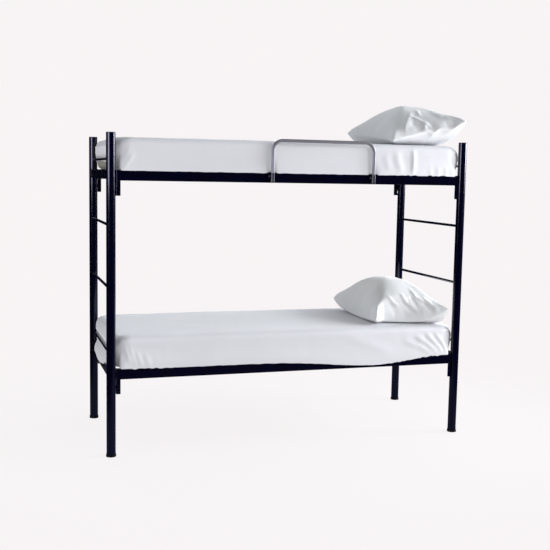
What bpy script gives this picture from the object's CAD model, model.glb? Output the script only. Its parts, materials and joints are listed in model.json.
"""Looks of a steel bunk bed with ladder ends, two made-up bunks and a lift-out guard rail."""
import json
import math

import bmesh
import bpy
from bpy.props import FloatProperty, FloatVectorProperty, IntProperty, IntVectorProperty, PointerProperty
from mathutils import Matrix, Vector, noise


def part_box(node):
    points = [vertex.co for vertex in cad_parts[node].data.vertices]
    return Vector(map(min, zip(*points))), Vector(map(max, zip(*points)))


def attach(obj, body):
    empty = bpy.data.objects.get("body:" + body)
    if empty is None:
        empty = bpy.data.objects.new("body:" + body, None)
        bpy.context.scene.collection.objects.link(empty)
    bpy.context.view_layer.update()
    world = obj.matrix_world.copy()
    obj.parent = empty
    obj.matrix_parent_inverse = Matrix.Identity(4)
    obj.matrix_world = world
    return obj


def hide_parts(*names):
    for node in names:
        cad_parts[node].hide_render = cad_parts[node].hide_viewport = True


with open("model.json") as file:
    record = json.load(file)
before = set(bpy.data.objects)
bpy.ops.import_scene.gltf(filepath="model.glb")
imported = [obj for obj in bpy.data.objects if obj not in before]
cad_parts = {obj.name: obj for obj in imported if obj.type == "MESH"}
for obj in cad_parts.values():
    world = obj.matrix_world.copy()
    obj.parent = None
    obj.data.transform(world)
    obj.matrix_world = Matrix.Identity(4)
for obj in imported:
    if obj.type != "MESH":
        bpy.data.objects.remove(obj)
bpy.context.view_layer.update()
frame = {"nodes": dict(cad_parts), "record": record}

bl_info = {
    "name": "Bunk bed with ladder ends",
    "version": (1, 0, 0),
    "blender": (4, 5, 0),
    "location": "View3D > Sidebar > Bunk bed",
    "description": "Finishes, bedding and studio for a steel bunk bed",
    "category": "Object",
}

TIERS = ("lower", "upper")
SIDES = ("left", "right")
FACES = ("front", "rear")

# Rows of a sheet's skirt, from the flat of the top to the hem under the mattress.
TOP_ROWS = 5
ARC_ROWS = 5
SIDE_ROWS = 12
TAIL_ROWS = 8
SIDE_START = TOP_ROWS + ARC_ROWS
TAIL_START = SIDE_START + SIDE_ROWS
SKIRT_ROWS = TAIL_START + TAIL_ROWS
# The first rows of the tail go round the mattress's lower edge.
TURN_ROWS = 4

# How far a hanging skirt stands off its rail, and how close it lies to it behind the guard, in metres.
HEM_OFF = 0.0028
HEM_CLOSE = 0.00065
HEM_CLOSE_SHARE = 0.45
# How far cloth stays over the top of a rail, and the least room beside the rail's face.
OVER_RAIL = 0.0009
BESIDE_RAIL = 0.0006
# Height of a hem's turn, and how far the front and the rear hem lap over their rails.
HEM_TURN = 0.004
HEM_LAP = 0.0045
REAR_LAP = 0.004
# Half width of a notch in the front hem, and of the gap in it at a leg of the guard.
NOTCH_WIDTH = 0.007
LEG_GAP = 0.02
# The lower front hem sags: place, depth, and (width, power) of the sag towards the foot and the head.
SAG_AT = 0.465
SAG_DEPTH = 0.038
SAG_FOOT = (0.35, 2.0)
SAG_HEAD = (0.27, 2.6)
# So does the lower sheet's left end: place across the bed, depth and width.
END_SAG = (0.01, 0.034, 0.19)

BEAD_RADIUS = 0.0016
BEAD_TURNS = 32
FLOOR_RADIUS = 30.0
CLOTH_RADIUS = 9.0
CLOTH_HEIGHT = 8.0


def srgb(code):
    """Linear red, green and blue of a hex colour."""
    parts = [int(code[i:i + 2], 16) / 255 for i in (1, 3, 5)]
    return tuple(c / 12.92 if c <= 0.04045 else ((c + 0.055) / 1.055) ** 2.4 for c in parts)


def ease(start, end, value):
    """0 before start, 1 after end, and a smooth step between them."""
    share = min(max((value - start) / (end - start), 0.0), 1.0)
    return share * share * (3.0 - 2.0 * share)


def mix(first, second, share):
    return first + (second - first) * share


def add(tree, kind, inputs=None, **settings):
    """A node of that kind; an input given as a socket is linked, and any other value is set."""
    node = tree.nodes.new(kind)
    for name, value in settings.items():
        setattr(node, name, value)
    for name, value in (inputs or {}).items():
        if isinstance(value, bpy.types.NodeSocket):
            tree.links.new(value, node.inputs[name])
        else:
            node.inputs[name].default_value = value
    return node


def blank_material(name):
    made = bpy.data.materials.new(name)
    made.use_nodes = True
    made.node_tree.nodes.clear()
    return made, made.node_tree


def rgba(colour):
    return (*colour, 1.0)


def enamel(name, colour, deep, gloss, shine, metal=0.0):
    """Hard paint: a slow drift between two tones, a fine orange peel and uneven gloss in the highlights."""
    made, tree = blank_material(name)
    place = add(tree, "ShaderNodeTexCoord").outputs["Object"]
    drift = add(tree, "ShaderNodeTexNoise", {"Vector": place, "Scale": 9.0, "Detail": 3.0})
    tone = add(tree, "ShaderNodeMix", {"Factor": drift.outputs["Fac"], "A": rgba(colour), "B": rgba(deep)},
               data_type="RGBA")
    # Peel bumps are drawn at 2 mm, coarser than the real 0.5 mm, so that they show in a highlight.
    peel = add(tree, "ShaderNodeTexNoise", {"Vector": place, "Scale": 500.0, "Detail": 1.0})
    bump = add(tree, "ShaderNodeBump", {"Height": peel.outputs["Fac"], "Strength": 0.05, "Distance": 0.0004})
    rough = add(tree, "ShaderNodeMapRange", {"Value": drift.outputs["Fac"], "To Min": gloss * 0.8,
                                             "To Max": gloss * 1.25})
    shader = add(tree, "ShaderNodeBsdfPrincipled", {
        "Base Color": tone.outputs["Result"], "Roughness": rough.outputs["Result"],
        "Normal": bump.outputs["Normal"], "Specular IOR Level": shine,
        "Metallic": metal, "Specular Tint": (0.86, 0.84, 1.0, 1.0)})
    add(tree, "ShaderNodeOutputMaterial", {"Surface": shader.outputs["BSDF"]})
    return made


def plastic(name, colour):
    """Moulded black plastic: dull, with the fine spark-eroded grain of its mould."""
    made, tree = blank_material(name)
    place = add(tree, "ShaderNodeTexCoord").outputs["Object"]
    # Grain at 1 mm, coarser than the real 0.2 mm, so that it can be seen.
    grain = add(tree, "ShaderNodeTexNoise", {"Vector": place, "Scale": 1000.0, "Detail": 2.0})
    bump = add(tree, "ShaderNodeBump", {"Height": grain.outputs["Fac"], "Strength": 0.15, "Distance": 0.0003})
    shader = add(tree, "ShaderNodeBsdfPrincipled", {
        "Base Color": rgba(colour), "Roughness": 0.5, "Normal": bump.outputs["Normal"],
        "Specular IOR Level": 0.3})
    add(tree, "ShaderNodeOutputMaterial", {"Surface": shader.outputs["BSDF"]})
    return made


def zinc(name, colour):
    """Zinc plate: dark grey metal with faint patches of spangle that change its gloss."""
    made, tree = blank_material(name)
    place = add(tree, "ShaderNodeTexCoord").outputs["Object"]
    # Spangles of about 4.5 mm.
    spangle = add(tree, "ShaderNodeTexVoronoi", {"Vector": place, "Scale": 220.0})
    rough = add(tree, "ShaderNodeMapRange", {"Value": spangle.outputs["Distance"], "To Min": 0.08,
                                             "To Max": 0.2})
    shader = add(tree, "ShaderNodeBsdfPrincipled", {
        "Base Color": rgba(colour), "Metallic": 0.5, "Roughness": rough.outputs["Result"]})
    add(tree, "ShaderNodeOutputMaterial", {"Surface": shader.outputs["BSDF"]})
    return made


def woven(name, colour, shade, thread, sheen, rough):
    """Woven cloth: crossed threads in relief, a soft drift of tone and the pale bloom of its fibres."""
    made, tree = blank_material(name)
    place = add(tree, "ShaderNodeUVMap").outputs["UV"]
    # One wave is 2 pi over the scale times 20 long; the threads are drawn coarser than the real 0.3 mm.
    scale = 2.0 * math.pi / (20.0 * thread)
    warp, weft = [add(tree, "ShaderNodeTexWave", {"Vector": place, "Scale": scale, "Distortion": 0.6},
                      bands_direction=axis) for axis in "XY"]
    cross = add(tree, "ShaderNodeMath", {0: warp.outputs["Fac"], 1: weft.outputs["Fac"]}, operation="ADD")
    bump = add(tree, "ShaderNodeBump", {"Height": cross.outputs["Value"], "Strength": 0.12,
                                        "Distance": 0.0003})
    drift = add(tree, "ShaderNodeTexNoise", {"Vector": place, "Scale": 5.0, "Detail": 4.0})
    tone = add(tree, "ShaderNodeMix", {"Factor": drift.outputs["Fac"], "A": rgba(colour), "B": rgba(shade)},
               data_type="RGBA")
    shader = add(tree, "ShaderNodeBsdfPrincipled", {
        "Base Color": tone.outputs["Result"], "Roughness": rough, "Normal": bump.outputs["Normal"],
        "Sheen Weight": sheen, "Sheen Roughness": 0.5, "Specular IOR Level": 0.25})
    add(tree, "ShaderNodeOutputMaterial", {"Surface": shader.outputs["BSDF"]})
    return made


def ticking(name, colour, stripe):
    """Mattress ticking: grey stripes on an undyed ground, seen from below and at one open end."""
    made, tree = blank_material(name)
    place = add(tree, "ShaderNodeTexCoord").outputs["Object"]
    # Stripes every 24 mm across the bed.
    bands = add(tree, "ShaderNodeTexWave", {"Vector": place, "Scale": 2.0 * math.pi / (20.0 * 0.024)},
                bands_direction="Y")
    share = add(tree, "ShaderNodeMapRange", {"Value": bands.outputs["Fac"], "From Min": 0.8,
                                             "From Max": 0.9})
    # The weave is drawn at 1.4 mm, coarser than the real 0.5 mm, so that it shows.
    weave = add(tree, "ShaderNodeTexNoise", {"Vector": place, "Scale": 700.0})
    bump = add(tree, "ShaderNodeBump", {"Height": weave.outputs["Fac"], "Strength": 0.2, "Distance": 0.0004})
    tone = add(tree, "ShaderNodeMix", {"Factor": share.outputs["Result"], "A": rgba(colour),
                                       "B": rgba(stripe)}, data_type="RGBA")
    shader = add(tree, "ShaderNodeBsdfPrincipled", {
        "Base Color": tone.outputs["Result"], "Roughness": 0.85, "Normal": bump.outputs["Normal"],
        "Specular IOR Level": 0.2})
    add(tree, "ShaderNodeOutputMaterial", {"Surface": shader.outputs["BSDF"]})
    return made


def shown_rays(tree):
    """A node that gives 1 for rays in which the studio shows as it is, and 0 for those that only light."""
    rays = add(tree, "ShaderNodeLightPath")
    seen = add(tree, "ShaderNodeMath", {0: rays.outputs["Is Camera Ray"], 1: rays.outputs["Is Glossy Ray"]},
               operation="ADD")
    return add(tree, "ShaderNodeMath", {0: seen.outputs["Value"], 1: rays.outputs["Is Transmission Ray"]},
               operation="ADD", use_clamp=True)


def in_scene(name, data):
    """An object with that data, linked to the scene."""
    obj = bpy.data.objects.new(name, data)
    bpy.context.scene.collection.objects.link(obj)
    return obj


def settle(bm, name, finish, smooth=True):
    """An object made of that mesh, in the scene and with its finish."""
    for face in bm.faces:
        face.smooth = smooth
    mesh = bpy.data.meshes.new(name)
    bm.to_mesh(mesh)
    bm.free()
    mesh.materials.append(finish)
    return in_scene(name, mesh)


def lay_flat(bm, places):
    """Cloth coordinates, in metres of flat cloth, for every face whose corners have a place."""
    layer = bm.loops.layers.uv.verify()
    for face in bm.faces:
        if all(vert in places for vert in face.verts):
            for loop in face.loops:
                loop[layer].uv = places[loop.vert]


def shared(name):
    """A finish made by the finishes operator."""
    found = bpy.data.materials.get(name)
    if found is None:
        raise RuntimeError("the finishes come first: " + name)
    return found


def bead_tube(runs, name):
    """Weld beads along those runs of points; a run is (points, closed)."""
    curve = bpy.data.curves.new(name + "_path", "CURVE")
    curve.dimensions = "3D"
    curve.bevel_depth = BEAD_RADIUS
    curve.bevel_resolution = 1
    curve.use_fill_caps = True
    for points, closed in runs:
        spline = curve.splines.new("POLY")
        spline.points.add(len(points) - 1)
        spline.use_cyclic_u = closed
        for place, point in zip(spline.points, points):
            place.co = (*point, 1.0)
    carrier = in_scene(name + "_path", curve)
    mesh = bpy.data.meshes.new_from_object(carrier)
    bpy.data.objects.remove(carrier)
    bpy.data.curves.remove(curve)
    for face in mesh.polygons:
        face.use_smooth = True
    return in_scene(name, mesh)


def saddle(post, bar, toward):
    """The line where a bar along Y meets a post: the bar's outline pressed onto the post's round side."""
    post_low, post_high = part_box(post)
    bar_low, bar_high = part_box(bar)
    middle = (post_low + post_high) / 2
    reach = (post_high.x - post_low.x) / 2
    half_x = (bar_high.x - bar_low.x) / 2
    half_z = (bar_high.z - bar_low.z) / 2
    centre = (bar_low + bar_high) / 2
    squareness = 1.0 if abs(half_x - half_z) < 0.0005 else 0.25
    points = []
    for turn in range(BEAD_TURNS):
        angle = 2.0 * math.pi * turn / BEAD_TURNS
        cos, sin = math.cos(angle), math.sin(angle)
        x = half_x * math.copysign(abs(cos) ** squareness, cos)
        z = half_z * math.copysign(abs(sin) ** squareness, sin)
        y = middle.y + toward * math.sqrt(reach * reach - x * x)
        points.append((centre.x + x, y, centre.z + z))
    return points, True


def weld_runs():
    """Every weld of the frame: rungs and end rails on posts, rails on brackets."""
    runs = []
    for side in SIDES:
        bars = [f"{side}_rung_{step}" for step in (1, 2, 3, 4)]
        bars += [f"{tier}_{side}_end_rail" for tier in TIERS]
        for bar in bars:
            runs.append(saddle(f"front_{side}_post", bar, 1.0))
            runs.append(saddle(f"rear_{side}_post", bar, -1.0))
    for tier in TIERS:
        for face in FACES:
            low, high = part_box(f"{tier}_{face}_rail")
            for x in (low.x, high.x):
                runs.append(([(x, low.y, high.z), (x, low.y, low.z), (x, high.y, low.z),
                              (x, high.y, high.z)], False))
    return runs


class SheetForm:
    """Shape of one fitted sheet: plan, skirt and hem of a tier, with its own sags and folds."""

    def __init__(self, tier, linen):
        low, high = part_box(f"{tier}_mattress")
        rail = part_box(f"{tier}_front_rail")
        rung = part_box("left_rung_1" if tier == "lower" else "left_rung_4")
        end_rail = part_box(f"{tier}_left_end_rail")
        self.tier = tier
        self.linen = linen
        self.half = Vector((high.x, high.y))
        self.top = high.z + linen.ease_over
        self.bottom = low.z - linen.ease_over * 0.5
        self.rail_top = rail[1].z
        self.rail_face = -rail[0].y
        self.rung_z = (rung[0].z + rung[1].z) / 2
        self.end_face = -end_rail[0].x
        self.inner = Vector((high.x - linen.corner, high.y - linen.corner))
        self.wall = linen.corner + linen.ease_over
        # A leg of the guard stands half a socket's depth in from the socket's right side.
        sockets = [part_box(f"{side}_guard_socket") for side in SIDES]
        self.legs = [far.x - (far.y - near.y) / 2 for near, far in sockets]

    def swell(self, height, way):
        """How far a corner stands out at half height and draws in at its edges."""
        share = (height - (self.top + self.bottom) / 2) / ((self.top - self.bottom) / 2)
        spread = 4.0 * way.x * way.x * way.y * way.y
        return self.linen.swell * spread * (1.0 - 1.9 * min(share * share, 1.0))

    def flat_reaches(self):
        """How far each row of the skirt lies from the flat of the top, measured along the cloth."""
        linen = self.linen
        steps = [(linen.corner - linen.edge) / TOP_ROWS] * TOP_ROWS
        steps += [linen.edge * math.pi / 2 / ARC_ROWS] * ARC_ROWS
        steps += [(self.top - self.bottom - linen.edge) / SIDE_ROWS] * SIDE_ROWS
        steps += [linen.tuck / TAIL_ROWS] * TAIL_ROWS
        return [sum(steps[:row]) for row in range(SKIRT_ROWS + 1)]

    def tucked(self, row):
        """Reach and height of a row where the skirt goes round the mattress's lower edge."""
        linen, wall = self.linen, self.wall
        edge = linen.hem_edge
        if row <= TAIL_START:
            return wall, mix(self.top - linen.edge, self.bottom + edge, (row - SIDE_START) / SIDE_ROWS)
        step = row - TAIL_START
        if step <= TURN_ROWS:
            angle = math.pi / 2 * step / TURN_ROWS
            return wall - edge * (1.0 - math.cos(angle)), self.bottom + edge * (1.0 - math.sin(angle))
        return wall - edge - linen.tuck * (step - TURN_ROWS) / (TAIL_ROWS - TURN_ROWS), self.bottom

    def slim(self, x):
        """1 where the skirt passes close behind the guard when its mattress is lifted, 0 clear of it."""
        if self.tier == "lower":
            return 0.0
        left, right = self.legs
        return ease(left - 0.05, left - 0.02, x) * ease(right + 0.05, right + 0.02, x)

    def pouched(self, row, face, low, slim=0.0):
        """Reach and height of a row where the skirt hangs over a rail's face and goes back under."""
        def off(out):
            return mix(out, max(out * HEM_CLOSE_SHARE, HEM_CLOSE), slim) if out > 0.0 else out

        if row <= TAIL_START:
            share = (row - SIDE_START) / SIDE_ROWS
            flare = mix(self.wall, face + off(HEM_OFF), ease(0.35, 0.95, share))
            return flare, mix(self.top - self.linen.edge, low + HEM_TURN, share)
        over = self.rail_top
        tail = ((0.0026, low + 0.0015), (0.0019, low + 0.0003), (0.0012, low + 0.0006), (0.0008, low + 0.003),
                (BESIDE_RAIL, over - 0.0006), (-0.0015, over + OVER_RAIL), (-0.05, over + OVER_RAIL),
                (-0.095, over + OVER_RAIL))
        out, height = tail[row - TAIL_START - 1]
        return face + off(out), height

    def hemmed(self, row, low):
        """Reach and height of a row where the skirt stops short in a doubled hem."""
        wall = self.wall + 0.0012
        if row <= TAIL_START:
            return wall, mix(self.top - self.linen.edge, low + HEM_TURN, (row - SIDE_START) / SIDE_ROWS)
        tail = ((0.0, 0.0015), (-0.0005, 0.0003), (-0.0011, 0.0006), (-0.0014, 0.003), (-0.0016, 0.008),
                (-0.0016, 0.014), (-0.0016, 0.02), (-0.0016, 0.026))
        out, up = tail[row - TAIL_START - 1]
        return wall + out, low + up

    def front_low(self, x):
        """Height of the lowest fold of the skirt in front of the front rail."""
        loose = max(ease(0.5, 0.7, x), ease(-0.6, -0.75, x) if self.tier == "lower" else 0.0)
        ripple = noise.noise(Vector((x / 0.045, 3.1, 0.0))) * 0.0022
        ripple += abs(noise.noise(Vector((x / 0.028, 8.4, 0.0)))) * 0.009 * loose
        low = self.rail_top - HEM_LAP + ripple - 0.002 * loose
        for at, height in HEM_NOTCHES[self.tier]:
            low += height * math.exp(-((x - at) / NOTCH_WIDTH) ** 2)
        low = min(low, self.rail_top - BESIDE_RAIL)
        if self.tier == "lower":
            reach, power = SAG_FOOT if x < SAG_AT else SAG_HEAD
            low -= SAG_DEPTH * math.exp(-(abs(x - SAG_AT) / reach) ** power)
        return low

    def side_row(self, row, x, facing):
        """Reach and height on the front (facing -1) or rear (facing 1); facing is smaller round a corner."""
        hang = ease(0.74, 0.9, abs(facing))
        out, height = self.tucked(row)
        if facing < 0 and self.tier == "upper":
            hang *= 1.0 - max(math.exp(-((x - leg) / LEG_GAP) ** 4) for leg in self.legs)
        if hang > 0.0:
            low = self.front_low(x) if facing < 0 else self.rail_top - REAR_LAP
            close = self.slim(x) if facing < 0 else 0.0
            face = (self.rail_face - self.inner.y) / abs(facing)
            over = self.pouched(row, face, low, close)
            out, height = mix(out, over[0], hang), mix(height, over[1], hang)
        return out, height

    def end_row(self, row, y, facing):
        """Reach and height on the left (facing -1) or right (facing 1) end."""
        out, height = self.tucked(row)
        if facing < 0 and self.tier == "upper":
            short = 1.0 - ease(0.24, 0.315, -y)
            brief = self.hemmed(row, self.rung_z - 0.012 + 0.004 * math.sin(y * 9.0))
            out, height = mix(out, brief[0], short), mix(height, brief[1], short)
        if facing < 0 and self.tier == "lower":
            hang = 1.0 - ease(0.2, 0.31, abs(y))
            if hang > 0.0:
                at, depth, width = END_SAG
                low = self.rail_top - 0.002 - depth * math.exp(-((y - at) / width) ** 2)
                over = self.pouched(row, self.end_face - self.inner.x, low)
                below = ease(self.rung_z - 0.014, self.rung_z - 0.06, over[1])
                reach = over[0] if row > TAIL_START else mix(self.wall, over[0], below)
                out, height = mix(out, reach, hang), mix(height, over[1], hang)
        if row >= SIDE_START and height > self.rung_z:
            room = ease(self.rung_z + 0.011, self.rung_z + 0.035, height)
            over = ease(self.top - 0.002, self.top - 0.035, height)
            out += self.linen.bulge * room * over * (1.0 - ease(0.24, 0.36, abs(y)))
        return out, height

    def place(self, along, across, row, way):
        """Point of the sheet: a place on the flat top, then so many rows down the skirt that way."""
        linen = self.linen
        if row <= TOP_ROWS:
            crown = linen.crown * (1.0 - (along / self.half.x) ** 2) * (1.0 - (across / self.half.y) ** 2)
            out = (linen.corner - linen.edge + self.swell(self.top, way)) * row / TOP_ROWS
            height = self.top + crown - linen.sink * (row / TOP_ROWS) ** 2
        elif row <= SIDE_START:
            angle = math.pi / 2 * (row - TOP_ROWS) / ARC_ROWS
            out = linen.corner - linen.edge + (linen.edge + linen.ease_over) * math.sin(angle)
            height = self.top - linen.sink * math.cos(angle) - linen.edge * (1.0 - math.cos(angle))
            out += self.swell(height, way)
        else:
            side = ease(0.6, 0.9, abs(way.y))
            out, height = 0.0, 0.0
            if side < 1.0:
                out, height = self.end_row(row, across, way.x)
            if side > 0.0:
                reach, level = self.side_row(row, along, way.y)
                out, height = mix(out, reach, side), mix(height, level, side)
            out += self.swell(height, way) * (1.0 - side)
            if abs(across + way.y * out) < self.rail_face + BESIDE_RAIL and side > 0.0:
                height = max(height, self.rail_top + OVER_RAIL)
        return Vector((along + way.x * out, across + way.y * out, height))


# Folds pressed into the front of each sheet: points (x, z) along the fold, width and height.
# All are in metres, z over the bunk's rail. They follow the creases seen in the cloth.
FRONT_FOLDS = {
    "upper": (
        ((-0.925, 0.135), (-0.972, 0.055), 0.006, 0.0035),
        ((-0.938, 0.142), (-0.984, 0.072), 0.005, 0.003),
        ((-0.905, 0.12), (-0.955, 0.035), 0.008, 0.003),
        ((-0.885, 0.09), (-0.935, 0.012), 0.009, 0.0025),
        ((0.52, 0.12), (0.545, 0.01), 0.022, 0.003),
        ((0.585, 0.14), (0.60, 0.06), (0.625, 0.0), 0.022, 0.005),
        ((0.69, 0.15), (0.693, 0.08), (0.686, -0.004), 0.010, 0.009),
        ((0.798, 0.03), (0.798, -0.006), 0.008, 0.003),
        ((0.845, 0.05), (0.85, -0.006), 0.012, 0.003),
        ((0.895, 0.05), (0.897, -0.006), 0.009, 0.003),
    ),
    "lower": (
        ((-0.94, 0.13), (-0.90, 0.02), 0.010, 0.004),
        ((-0.91, 0.12), (-0.872, 0.0), 0.009, 0.004),
        ((-0.88, 0.10), (-0.84, 0.0), 0.010, 0.004),
        ((-0.83, 0.08), (-0.80, 0.0), 0.012, 0.003),
        ((0.66, 0.09), (0.76, 0.06), (0.87, 0.0), 0.012, 0.007),
        ((0.73, 0.12), (0.81, 0.075), (0.90, 0.005), 0.011, 0.010),
        ((0.80, 0.135), (0.865, 0.075), (0.925, 0.01), 0.010, 0.010),
        ((0.86, 0.135), (0.91, 0.075), (0.95, 0.015), 0.009, 0.009),
        ((0.30, 0.13), (0.62, 0.02), 0.03, 0.003),
    ),
}

# Short notches in the front hem, x and height, where the elastic gathers it.
HEM_NOTCHES = {
    "upper": ((-0.93, 0.006), (0.655, 0.006), (0.704, 0.008), (0.798, 0.009), (0.883, 0.008), (0.911, 0.008)),
    "lower": ((-0.9, 0.007), (-0.855, 0.008), (-0.81, 0.006), (0.845, 0.008), (0.905, 0.007)),
}


def near_fold(x, z, fold):
    """Push at a place of one fold, which runs along a line of points and fades at its ends."""
    *line, width, height = fold
    spans = [math.hypot(b[0] - a[0], b[1] - a[1]) for a, b in zip(line, line[1:])]
    best, along, before = 1e9, 0.0, 0.0
    for (x0, z0), (x1, z1), span in zip(line, line[1:], spans):
        share = ((x - x0) * (x1 - x0) + (z - z0) * (z1 - z0)) / (span * span)
        share = min(max(share, 0.0), 1.0)
        off = math.hypot(x - mix(x0, x1, share), z - mix(z0, z1, share))
        if off < best:
            best, along = off, before + share * span
        before += span
    along /= before
    taper = ease(-0.02, 0.3, along) * ease(1.02, 0.7, along)
    return height * math.exp(-(best / width) ** 2) * taper


def ruffle(form, point, row, way):
    """How far the cloth stands off its smooth shape there."""
    over = point.z - form.rail_top
    push = noise.noise(Vector((point.x / 0.21, point.y / 0.16, point.z / 0.07))) * 0.0016
    push += noise.noise(Vector((point.x / 0.06, point.y / 0.06, point.z / 0.05 + 7.0))) * 0.0006
    if row <= TOP_ROWS:
        return push
    down = ease(form.top - 0.01, form.rail_top + 0.02, point.z)
    if way.y < -0.2:
        for fold in FRONT_FOLDS[form.tier]:
            push += near_fold(point.x, over, fold) * (0.4 + 0.6 * abs(way.y))
        push *= 1.0 - 0.9 * form.slim(point.x) * ease(0.06, 0.02, over)
    if abs(way.x) > 0.02 and abs(way.y) > 0.02:
        angle = math.atan2(abs(way.y), abs(way.x))
        waves = math.sin(angle * 15.0 + 1.7 * math.sin(point.z * 30.0))
        push += 0.0012 * waves * down * math.sin(2.0 * angle)
    if abs(way.x) > 0.5:
        clear = ease(0.012, 0.03, abs(point.z - form.rung_z))
        push *= mix(0.15, 1.0, clear)
    if row > TAIL_START:
        push *= 0.1
    return max(push, -0.002)


def sheet_piece(tier, linen):
    """A fitted sheet, folded from one flat grid of cloth over its mattress."""
    form = SheetForm(tier, linen)
    cells_x = round(2.0 * form.inner.x / linen.cell)
    cells_y = round(2.0 * form.inner.y / linen.cell)
    across_x = cells_x + 2 * SKIRT_ROWS
    across_y = cells_y + 2 * SKIRT_ROWS
    bm = bmesh.new()
    bmesh.ops.create_grid(bm, x_segments=across_x, y_segments=across_y, size=0.5)
    seats = {}
    flats = {}
    reaches = form.flat_reaches()
    for vert in bm.verts:
        i = round((vert.co.x + 0.5) * across_x)
        j = round((vert.co.y + 0.5) * across_y)
        row_x = max(SKIRT_ROWS - i, i - (across_x - SKIRT_ROWS), 0)
        row_y = max(SKIRT_ROWS - j, j - (across_y - SKIRT_ROWS), 0)
        along = (min(max(i - SKIRT_ROWS, 0), cells_x) / cells_x * 2.0 - 1.0) * form.inner.x
        across = (min(max(j - SKIRT_ROWS, 0), cells_y) / cells_y * 2.0 - 1.0) * form.inner.y
        row = max(row_x, row_y)
        angle = 0.0
        if row and row_x >= row_y:
            angle = math.pi / 4 * row_y / row_x
        elif row:
            angle = math.pi / 2 - math.pi / 4 * row_x / row_y
        way = Vector((math.copysign(math.cos(angle), i - across_x / 2),
                      math.copysign(math.sin(angle), j - across_y / 2)))
        seats[vert.index] = (row, way)
        flats[vert] = (along + math.copysign(reaches[row_x], way.x),
                       across + math.copysign(reaches[row_y], way.y))
        vert.co = form.place(along, across, row, way)
    lay_flat(bm, flats)
    bmesh.ops.recalc_face_normals(bm, faces=bm.faces)
    bm.normal_update()
    pushes = [ruffle(form, vert.co, *seats[vert.index]) for vert in bm.verts]
    for vert, push in zip(bm.verts, pushes):
        vert.co += vert.normal * push
    obj = settle(bm, f"{tier}_fitted_sheet", shared("sheet_percale"))
    thick = obj.modifiers.new("Cloth thickness", "SOLIDIFY")
    thick.thickness = linen.thickness
    thick.offset = 0.0
    return obj


def mattress_piece(tier, linen):
    """A foam block in ticking, inside its sheet: upright edges rounded first, then the rims."""
    low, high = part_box(f"{tier}_mattress")
    inset = Vector((linen.inset, linen.inset, 0.0))
    size = high - low - 2.0 * inset
    bm = bmesh.new()
    bmesh.ops.create_cube(bm, size=1.0)
    middle = (low + high) / 2
    bmesh.ops.scale(bm, vec=size - Vector((0.0, 0.0, linen.inset)), verts=bm.verts)
    bmesh.ops.translate(bm, vec=middle - Vector((0.0, 0.0, linen.inset / 2)), verts=bm.verts)
    for upright, offset, segments in ((True, linen.corner, 10), (False, linen.edge - linen.inset, 5)):
        edges = [e for e in bm.edges if (abs(e.verts[0].co.z - e.verts[1].co.z) > 0.005) == upright]
        bmesh.ops.bevel(bm, geom=edges, offset=offset, segments=segments, affect="EDGES", profile=0.5,
                        material=-1)
    bmesh.ops.recalc_face_normals(bm, faces=bm.faces)
    return settle(bm, f"{tier}_foam_mattress", shared("striped_ticking"))


# Each pillow: rise of its seam along the sides and at its corners, how far the corners' rise spreads, how
# square each quarter is, place and roundness of its crown, the bend and power of its slopes, and its folds,
# in shares of its half size. Corners: foot front, foot rear, head front, head rear. Slopes: foot, head,
# front, rear. Waves are rises of the front seam (place, width, metres), turn moves the head front corner in
# plan, under is how far the front goes in above its seam, and belly says how late the underside turns up to
# the seam, at the foot and at the head.
PILLOWS = {
    "upper": {
        "seam": 0.0,
        "corners": (0.020, 0.088, 0.144, 0.1),
        "spread": 1.0,
        "waves": ((0.15, 0.11, -0.022), (0.62, 0.2, -0.03)),
        "turn": (-0.034, -0.066),
        "under": 0.0,
        "belly": (6.0, 5.0),
        "square": (3.8, 8.0, 9.0, 8.0),
        "crown": (-0.1, 0.1),
        "slopes": ((1.2, 0.7), (1.6, 0.55), (1.5, 0.75), (1.2, 0.7)),
        "folds": (
            ((-0.15, -0.52), (-0.50, -0.83), (-0.66, -0.97), 0.012, 0.0042),
            ((-0.32, -0.65), (-0.03, -0.87), (0.23, -1.0), 0.009, 0.0056),
            ((-0.40, -0.80), (-0.25, -0.88), (-0.05, -0.94), 0.03, -0.0091),
            ((-0.05, -0.96), (0.1, -0.93), (0.2, -0.97), 0.012, -0.0063),
            ((0.32, -0.58), (0.55, -0.83), 0.02, 0.0035),
            ((0.02, -0.46), (-0.05, -0.72), 0.011, 0.0035),
            ((0.45, -0.93), (0.8, -0.97), 0.012, -0.0035),
        ),
    },
    "lower": {
        "seam": 0.006,
        "corners": (0.03, 0.07, 0.095, 0.07),
        "spread": 5.0,
        "waves": ((0.7, 0.1, 0.006),),
        "turn": (-0.031, -0.06),
        "under": 0.07,
        "belly": (6.0, 12.0),
        "square": (3.2, 8.0, 9.0, 8.0),
        "crown": (0.03, 0.16),
        "slopes": ((2.0, 0.65), (1.8, 0.68), (1.7, 0.6), (2.0, 0.65)),
        "folds": (
            ((-0.40, -0.52), (-0.77, -0.77), (-0.78, -0.98), 0.03, 0.007),
            ((-0.78, -0.80), (-0.70, -0.95), (-0.28, -0.96), 0.018, 0.0063),
            ((-0.50, -0.66), (-0.35, -0.83), (-0.12, -0.93), 0.009, 0.0063),
            ((-0.13, -0.65), (0.02, -0.85), (0.30, -0.95), 0.010, 0.0077),
            ((0.20, -0.56), (0.30, -0.75), (0.55, -0.87), 0.010, 0.0063),
            ((0.45, -0.74), (0.65, -0.90), (0.80, -0.98), 0.009, 0.0063),
            ((-0.52, -0.80), (-0.32, -0.94), (0.12, -0.96), 0.014, -0.0077),
            ((-0.17, -0.78), (0.07, -0.91), (0.28, -0.96), 0.010, -0.0077),
            ((0.13, -0.72), (0.22, -0.83), (0.30, -0.90), 0.009, -0.007),
            ((0.38, -0.82), (0.55, -0.92), (0.70, -0.97), 0.010, -0.0077),
            ((-0.2, -0.96), (0.12, -0.95), (0.43, -0.96), 0.02, -0.007),
        ),
    },
}

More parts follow.
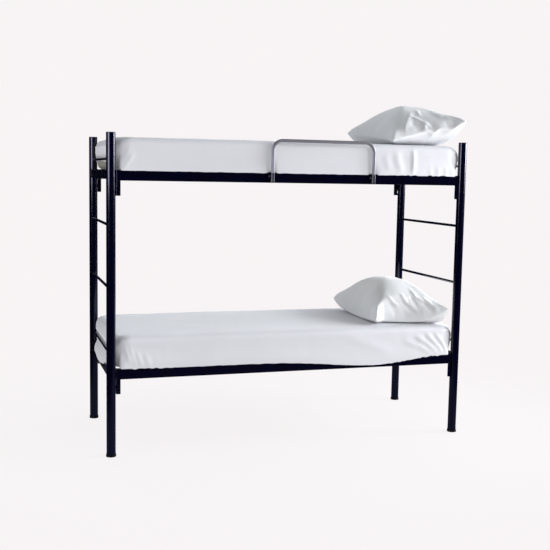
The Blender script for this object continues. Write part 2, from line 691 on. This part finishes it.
# The quarters of a pillow, in the order of its corners.
QUARTERS = ((-1, -1), (-1, 1), (1, -1), (1, 1))
# Height of the puckers along a pillow's seam and of its slow unevenness, in metres.
PUCKER = 0.0015
UNEVEN = 0.002


class PillowForm:
    """Shape of one filled pillow over its seat, from shares u (foot to head) and v (front to rear)."""

    def __init__(self, tier, linen):
        self.low, self.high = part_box(f"{tier}_pillow")
        self.half = (self.high - self.low) / 2
        self.look = PILLOWS[tier]
        self.linen = linen
        self.folds = [(*((u * self.half.x, v * self.half.y) for u, v in line), width, height)
                      for *line, width, height in self.look["folds"]]

    def seam(self, u, v):
        """Height of the seam over the seat."""
        rise = self.look["seam"]
        for corner, (su, sv) in zip(self.look["corners"], QUARTERS):
            rise += corner * ((1.0 + su * u) * (1.0 + sv * v) / 4.0) ** self.look["spread"]
        for at, width, height in self.look["waves"]:
            rise += height * math.exp(-((u - at) / width) ** 2) * ease(0.86, 1.0, -v)
        return rise

    def crown(self, u, v):
        """Share of the loft: a slope from each side with a round top."""
        peak, soft = self.look["crown"]
        u = (u - peak) / (1.0 + peak if u < peak else 1.0 - peak)
        square = self.look["square"][QUARTERS.index((-1 if u < 0 else 1, -1 if v < 0 else 1))]
        edge = max(abs(u), abs(v))
        ring = (abs(u) ** square + abs(v) ** square) ** (1.0 / square)
        edge = mix(min(ring, 1.0), edge, ease(0.6, 1.0, edge))
        edge = (math.sqrt(edge * edge + soft * soft) - soft) / (math.sqrt(1.0 + soft * soft) - soft)
        foot, head, front, rear = self.look["slopes"]
        across = foot if u < 0 else head
        along = front if v < 0 else rear
        share = ease(0.35, 0.65, abs(u) / max(abs(u) + abs(v), 1e-6))
        bend, power = (mix(a, b, share) for a, b in zip(along, across))
        return max(1.0 - edge ** bend, 0.0) ** power

    def place(self, u, v, upper):
        middle = self.low + self.half
        half = self.half
        waist = self.linen.waist
        x = middle.x + half.x * u * (1.0 - waist * (1.0 - v * v))
        y = middle.y + half.y * v * (1.0 - waist * 0.7 * (1.0 - u * u))
        seam = self.seam(u, v)
        near = (1.0 + u) * (1.0 - v) / 4.0
        turn_x, turn_y = self.look["turn"]
        x += turn_x * near
        hollow = ease(0.65, 1.0, -v) * ease(-1.0, -0.6, u) * ease(0.95, -0.5, u)
        y += turn_y * near + self.look["under"] * hollow
        if upper:
            loft = self.high.z - self.low.z + self.linen.peak
            return Vector((x, y, self.low.z + mix(seam, loft, self.crown(u, v))))
        power = mix(*self.look["belly"], ease(0.0, 0.9, u))
        return Vector((x, y, self.low.z + seam * max(abs(u), abs(v)) ** power))

    def push(self, u, v):
        """How far folds and the slack along the seam lift the upper side there."""
        off = 0.0
        edge = max(abs(u), abs(v))
        for fold in self.folds:
            off += near_fold(u * self.half.x, v * self.half.y, fold)
        run = v if abs(u) > abs(v) else u
        pucker = noise.noise(Vector((run * 9.0, 4.0 if abs(u) > abs(v) else 9.0, 0.5)))
        off += PUCKER * pucker * ease(0.7, 0.95, edge)
        off += UNEVEN * noise.noise(Vector((u * 3.0, v * 4.0, 1.3)))
        return off * ease(1.0, 0.95, edge)


def pillow_piece(tier, linen):
    """A filled pillow in its case: two panels joined at their seam, resting on the sheet."""
    form = PillowForm(tier, linen)
    bm = bmesh.new()
    cells_x, cells_y = linen.case_cells
    for upper in (True, False):
        panel = bmesh.ops.create_grid(bm, x_segments=cells_x, y_segments=cells_y, size=1.0)["verts"]
        shares = [(vert.co.x, vert.co.y) for vert in panel]
        for vert, (u, v) in zip(panel, shares):
            vert.co = form.place(u, v, upper)
        lay_flat(bm, {vert: (u * form.half.x, v * form.half.y) for vert, (u, v) in zip(panel, shares)})
        if not upper:
            continue
        inside = [vert for vert, (u, v) in zip(panel, shares) if max(abs(u), abs(v)) < 0.99]
        for _ in range(linen.case_smooth):
            bmesh.ops.smooth_vert(bm, verts=inside, factor=0.5, use_axis_x=True, use_axis_y=True,
                                  use_axis_z=True)
        bm.normal_update()
        lifts = [vert.normal * form.push(u, v) for vert, (u, v) in zip(panel, shares)]
        for vert, lift in zip(panel, lifts):
            vert.co += lift
    bmesh.ops.remove_doubles(bm, verts=bm.verts, dist=0.0004)
    bmesh.ops.recalc_face_normals(bm, faces=bm.faces)
    obj = settle(bm, f"{tier}_head_pillow_case", shared("pillow_sateen"))
    round_off = obj.modifiers.new("Soft surface", "SUBSURF")
    round_off.levels = round_off.render_levels = 1
    return obj


def paint(name, description, code):
    return FloatVectorProperty(name=name, description=description, size=3, subtype="COLOR",
                               default=srgb(code))


def length(name, description, metres):
    return FloatProperty(name=name, description=description, unit="LENGTH", default=metres)


def bearing(name, description, degrees):
    return FloatProperty(name=name, description=description, subtype="ANGLE", default=math.radians(degrees))


def number(name, description, value):
    return FloatProperty(name=name, description=description, default=value)


class BunkPaints(bpy.types.PropertyGroup):
    frame: paint("Frame", "Enamel of posts, rails and rungs", "#03031c")
    frame_deep: paint("Frame, deep", "Darker tone of the enamel", "#02020f")
    plastic: paint("Plastic", "Caps and feet", "#05050c")
    guard: paint("Guard", "Paint of the guard rail", "#939299")
    guard_deep: paint("Guard, deep", "Darker tone of that paint", "#85848b")
    zinc: paint("Zinc", "Plate of sockets, studs and screws", "#424348")
    sheet: paint("Sheet", "Cotton of the fitted sheets", "#d8d8dc")
    sheet_shade: paint("Sheet, shade", "Darker tone of the cotton", "#d2d2d7")
    pillow: paint("Pillow", "Sateen of the pillow cases", "#edeeef")
    pillow_shade: paint("Pillow, shade", "Darker tone of the sateen", "#e8e9eb")
    ticking: paint("Ticking", "Ground of the mattress cover", "#9d9b8f")
    stripe: paint("Stripe", "Stripe of the mattress cover", "#8e8c7f")
    gloss: FloatProperty(name="Gloss", description="Roughness of the enamel", default=0.15, min=0.05, max=1.0)


class BunkLinen(bpy.types.PropertyGroup):
    cell: length("Cell", "Size of a mesh cell on a sheet's top", 0.009)
    thickness: length("Thickness", "Thickness of a sheet", 0.0006)
    ease_over: length("Ease", "How far a sheet stands off its mattress", 0.0016)
    corner: length("Corner", "Radius of a mattress's corner in plan", 0.092)
    edge: length("Edge", "Radius of a mattress's edge", 0.032)
    hem_edge: length("Hem edge", "Radius of a sheet's turn under its mattress", 0.012)
    crown: length("Crown", "Rise of the top's middle", 0.003)
    sink: length("Sink", "Fall of the top towards its edge", 0.003)
    bulge: length("Bulge", "Swell of the ends over a rung", 0.014)
    swell: length("Swell", "Swell of a mattress's corners at half height", 0.0115)
    tuck: length("Tuck", "Width turned under the mattress", 0.07)
    inset: length("Inset", "How far the foam stays inside its outline", 0.004)
    case_cells: IntVectorProperty(name="Case cells", description="Mesh cells across and along a pillow",
                                  size=2, default=(80, 120))
    case_smooth: IntProperty(name="Case smoothing", description="Rounds of smoothing on a pillow", default=8)
    waist: number("Waist", "Share by which a pillow's sides are drawn in", 0.06)
    peak: length("Peak", "How far a pillow's crown stands over its filling", 0.006)


class BunkStage(bpy.types.PropertyGroup):
    eye: FloatVectorProperty(name="Eye", description="Place of the camera", size=3, subtype="TRANSLATION",
                             unit="LENGTH", default=(-1.6228, -5.1892, 1.5052))
    yaw: bearing("Yaw", "Turn of the camera to the right", 17.501)
    pitch: bearing("Pitch", "Tilt of the camera down", 6.287)
    roll: bearing("Roll", "Turn of the camera on its axis", 1.048)
    lens: number("Lens", "Focal length in millimetres on a 36 mm sensor", 60.377)
    backdrop: paint("Backdrop", "Colour of the studio", "#f8f4f5")
    fill: number("Fill", "Level of the light from the room", 0.06)
    wall: number("Wall", "Level of the light from the lit wall behind", 2.15)
    side: number("Side", "Level of the light from the lit wall at the right", 2.9)
    sky: number("Sky", "Level of the light from above", 0.46)
    bounce: number("Bounce", "Level of the light from the floor", 0.93)
    key: number("Key", "Power of the light at the right, in watts", 340.0)
    near: number("Near", "Power of the light in front of the head end, in watts", 20.0)
    left_fill: number("Left fill", "Power of the light at the left end, in watts", 6.0)
    left_window: number("Left window", "Power of the reflection at the left, in watts", 95.0)
    right_window: number("Right window", "Power of the reflection at the right, in watts", 85.0)
    floor_gloss: number("Floor gloss", "Level of the floor in reflections", 0.24)


def studio_world(stage):
    """Light from walls behind and at the right and from a dim sky, with a plain backdrop to the eye."""
    world = bpy.data.worlds.new("studio")
    world.use_nodes = True
    tree = world.node_tree
    tree.nodes.clear()
    shown = shown_rays(tree)
    facing = add(tree, "ShaderNodeSeparateXYZ",
                 {"Vector": add(tree, "ShaderNodeTexCoord").outputs["Generated"]})
    behind = add(tree, "ShaderNodeMapRange", {"Value": facing.outputs["Y"], "To Min": stage.fill,
                                              "To Max": stage.wall})
    beside = add(tree, "ShaderNodeMapRange", {"Value": facing.outputs["X"], "To Max": stage.side})
    walls = add(tree, "ShaderNodeMath", {0: behind.outputs["Result"], 1: beside.outputs["Result"]},
                operation="ADD")
    wall_top = {"Value": facing.outputs["Z"], "From Min": 0.5, "From Max": 0.75}
    low = add(tree, "ShaderNodeMapRange", {**wall_top, "To Min": 1.0, "To Max": 0.0})
    sky = add(tree, "ShaderNodeMapRange", {**wall_top, "To Max": stage.sky})
    level = add(tree, "ShaderNodeMath", {0: walls.outputs["Value"], 1: low.outputs["Result"],
                                         2: sky.outputs["Result"]}, operation="MULTIPLY_ADD")
    fill = add(tree, "ShaderNodeBackground", {"Color": (0.94, 0.975, 1.0, 1.0),
                                              "Strength": level.outputs["Value"]})
    back = add(tree, "ShaderNodeBackground", {"Color": rgba(stage.backdrop)})
    both = add(tree, "ShaderNodeMixShader", {0: shown.outputs["Value"], 1: fill.outputs["Background"],
                                             2: back.outputs["Background"]})
    add(tree, "ShaderNodeOutputWorld", {"Surface": both.outputs["Shader"]})
    return world


def studio_floor(stage):
    """A pale floor in the backdrop's colour, which takes a faint shadow near the feet."""
    look, tree = blank_material("studio_floor")
    place = add(tree, "ShaderNodeTexCoord").outputs["Object"]
    far = add(tree, "ShaderNodeVectorMath", {0: place}, operation="LENGTH")
    share = add(tree, "ShaderNodeMapRange", {"Value": far.outputs["Value"], "From Min": 0.8, "From Max": 2.6,
                                             "To Min": 0.92, "To Max": 1.0},
                interpolation_type="SMOOTHSTEP")
    lit = add(tree, "ShaderNodeBsdfDiffuse", {"Color": (0.9, 0.9, 0.9, 1.0)})
    glow = add(tree, "ShaderNodeMapRange", {"Value": shown_rays(tree).outputs["Value"],
                                            "To Min": stage.bounce, "To Max": 1.0})
    plain = add(tree, "ShaderNodeEmission", {"Color": rgba(stage.backdrop),
                                             "Strength": glow.outputs["Result"]})
    both = add(tree, "ShaderNodeMixShader", {0: share.outputs["Result"], 1: lit.outputs["BSDF"],
                                             2: plain.outputs["Emission"]})
    add(tree, "ShaderNodeOutputMaterial", {"Surface": both.outputs["Shader"]})
    bm = bmesh.new()
    bmesh.ops.create_circle(bm, cap_ends=True, radius=FLOOR_RADIUS, segments=64)
    return settle(bm, "studio_floor", look, smooth=False)


def studio_cloth(stage):
    """Dark cloth all round the set, paler on the floor close to the feet, which only gloss can see."""
    look, tree = blank_material("studio_cloth")
    place = add(tree, "ShaderNodeTexCoord").outputs["Object"]
    far = add(tree, "ShaderNodeVectorMath", {0: place}, operation="LENGTH")
    level = add(tree, "ShaderNodeMapRange", {"Value": far.outputs["Value"], "From Min": 1.6, "From Max": 2.4,
                                             "To Min": stage.floor_gloss, "To Max": 0.0})
    glow = add(tree, "ShaderNodeEmission", {"Color": (0.62, 0.68, 1.0, 1.0),
                                            "Strength": level.outputs["Result"]})
    add(tree, "ShaderNodeOutputMaterial", {"Surface": glow.outputs["Emission"]})
    bm = bmesh.new()
    bmesh.ops.create_cone(bm, cap_ends=True, segments=96, radius1=CLOTH_RADIUS, radius2=CLOTH_RADIUS,
                          depth=CLOTH_HEIGHT)
    bmesh.ops.translate(bm, vec=(0.0, 0.0, CLOTH_HEIGHT / 2 + 0.001), verts=bm.verts)
    drum = settle(bm, "studio_cloth", look, smooth=False)
    drum.visible_camera = drum.visible_diffuse = False
    drum.visible_transmission = drum.visible_shadow = False
    return drum


def studio_lamps(stage):
    """Area lamps, one after the other."""
    pale, lilac = (0.96, 0.98, 1.0), (0.82, 0.81, 1.0)
    # Name, place, aim, side, power, tint, and whether they light and show in gloss.
    # The windows show only in the gloss of paint and zinc; the near light and the left fill never do.
    lamps = (("key", (5.6, -1.2, 2.6), (0.3, 0.0, 1.0), 2.0, stage.key, pale, True, True),
             ("near", (2.1, -1.7, 1.35), (0.8, -0.3, 1.2), 0.6, stage.near, pale, True, False),
             ("left_fill", (-2.05, -1.0, 1.15), (-0.95, -0.3, 1.1), 0.6, stage.left_fill, pale, True, False),
             ("left_window", (-3.4, -1.7, 2.2), (-0.9, 0.0, 1.6), 1.7, stage.left_window, lilac, False, True),
             ("right_window", (4.6, -0.6, 2.3), (0.9, 0.0, 1.6), 1.8, stage.right_window, lilac, False, True))
    for name, at, aim, side, power, tint, lights, gloss in lamps:
        lamp = bpy.data.lights.new(name, "AREA")
        lamp.energy = power
        lamp.color = tint
        lamp.shape = "SQUARE"
        lamp.size = side
        light = in_scene(name, lamp)
        light.location = at
        light.rotation_euler = (Vector(aim) - Vector(at)).to_track_quat("-Z", "Y").to_euler()
        light.visible_diffuse = lights
        light.visible_glossy = gloss
        light.visible_camera = False
        yield light


def studio_camera(stage):
    """A camera at the eye, turned by yaw, pitch and roll."""
    flat = math.cos(stage.pitch)
    look = Vector((math.sin(stage.yaw) * flat, math.cos(stage.yaw) * flat, -math.sin(stage.pitch)))
    right = Vector((math.cos(stage.yaw), -math.sin(stage.yaw), 0.0))
    up = right.cross(look)
    tilt_right = right * math.cos(stage.roll) + up * math.sin(stage.roll)
    tilt_up = up * math.cos(stage.roll) - right * math.sin(stage.roll)
    data = bpy.data.cameras.new("view")
    data.lens = stage.lens
    data.sensor_width = 36.0
    camera = in_scene("view", data)
    turn = Matrix((tilt_right, tilt_up, -look)).transposed().to_4x4()
    camera.matrix_world = Matrix.Translation(stage.eye) @ turn
    return camera


class BUNK_OT_finishes(bpy.types.Operator):
    """Make every finish and give the frame, caps, feet, guard and fittings theirs"""
    bl_idname = "bunk.finishes"
    bl_label = "Finishes"

    def execute(self, context):
        paints = context.scene.bunk_paints
        looks = {
            "frame_paint": enamel("frame_enamel", paints.frame, paints.frame_deep, paints.gloss, 0.5),
            "guard_paint": enamel("guard_enamel", paints.guard, paints.guard_deep, 0.4, 0.3, 0.4),
            "cap_plastic": plastic("cap_moulding", paints.plastic),
            "foot_plastic": plastic("foot_moulding", paints.plastic),
            "zinc_steel": zinc("zinc_plate", paints.zinc),
            "sheet_cotton": woven("sheet_percale", paints.sheet, paints.sheet_shade, 0.0012, 0.05, 0.85),
            "pillow_cotton": woven("pillow_sateen", paints.pillow, paints.pillow_shade, 0.001, 0.05, 0.8),
            "mattress_ticking": ticking("striped_ticking", paints.ticking, paints.stripe),
        }
        for part in frame["record"]["subparts"]:
            mesh = frame["nodes"][part["node"]].data
            mesh.materials.clear()
            mesh.materials.append(looks[part["material_slot"]])
        return {"FINISHED"}


class BUNK_OT_welds(bpy.types.Operator):
    """Run weld beads round the joints of the frame"""
    bl_idname = "bunk.welds"
    bl_label = "Weld beads"

    def execute(self, context):
        beads = bead_tube(weld_runs(), "frame_weld_beads")
        beads.data.materials.append(shared("frame_enamel"))
        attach(beads, "bed_frame")
        return {"FINISHED"}


class BUNK_OT_mattresses(bpy.types.Operator):
    """Lay a foam mattress on each bunk"""
    bl_idname = "bunk.mattresses"
    bl_label = "Mattresses"

    def execute(self, context):
        for tier in TIERS:
            obj = mattress_piece(tier, context.scene.bunk_linen)
            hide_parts(f"{tier}_mattress")
            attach(obj, f"{tier}_bedding")
        return {"FINISHED"}


class BUNK_OT_sheets(bpy.types.Operator):
    """Fit a sheet over each mattress"""
    bl_idname = "bunk.sheets"
    bl_label = "Fitted sheets"

    def execute(self, context):
        for tier in TIERS:
            obj = sheet_piece(tier, context.scene.bunk_linen)
            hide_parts(f"{tier}_sheet")
            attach(obj, f"{tier}_bedding")
        return {"FINISHED"}


class BUNK_OT_pillows(bpy.types.Operator):
    """Fill a pillow for each bunk"""
    bl_idname = "bunk.pillows"
    bl_label = "Pillows"

    def execute(self, context):
        for tier in TIERS:
            obj = pillow_piece(tier, context.scene.bunk_linen)
            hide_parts(f"{tier}_pillow")
            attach(obj, f"{tier}_head_pillow")
        return {"FINISHED"}


class BUNK_OT_stage(bpy.types.Operator):
    """Set the floor, the light and the camera"""
    bl_idname = "bunk.stage"
    bl_label = "Stage"

    def execute(self, context):
        stage = context.scene.bunk_stage
        context.scene.view_settings.view_transform = "Standard"
        context.scene.world = studio_world(stage)
        floor = studio_floor(stage)
        drum = studio_cloth(stage)
        for light in studio_lamps(stage):
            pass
        context.scene.camera = studio_camera(stage)
        return {"FINISHED"}


class BUNK_PT_panel(bpy.types.Panel):
    """Sizes and colours of the bunk bed"""
    bl_label = "Bunk bed"
    bl_idname = "BUNK_PT_panel"
    bl_space_type = "VIEW_3D"
    bl_region_type = "UI"
    bl_category = "Bunk bed"

    def draw(self, context):
        for group in (getattr(context.scene, name) for name in GROUPS):
            box = self.layout.box()
            for name in group.bl_rna.properties.keys():
                if name not in ("rna_type", "name"):
                    box.prop(group, name)
        for kind in OPERATORS:
            self.layout.operator(kind.bl_idname)


GROUPS = {"bunk_paints": BunkPaints, "bunk_linen": BunkLinen, "bunk_stage": BunkStage}
OPERATORS = (BUNK_OT_finishes, BUNK_OT_welds, BUNK_OT_mattresses, BUNK_OT_sheets, BUNK_OT_pillows,
             BUNK_OT_stage)
CLASSES = (*GROUPS.values(), *OPERATORS, BUNK_PT_panel)


def register():
    for kind in CLASSES:
        bpy.utils.register_class(kind)
    for name, kind in GROUPS.items():
        setattr(bpy.types.Scene, name, PointerProperty(type=kind))


def unregister():
    for name in GROUPS:
        delattr(bpy.types.Scene, name)
    for kind in reversed(CLASSES):
        bpy.utils.unregister_class(kind)


def main():
    register()
    bpy.ops.bunk.finishes()
    bpy.ops.bunk.welds()
    bpy.ops.bunk.mattresses()
    bpy.ops.bunk.sheets()
    bpy.ops.bunk.pillows()
    bpy.ops.bunk.stage()


if __name__ == "__main__":
    main()
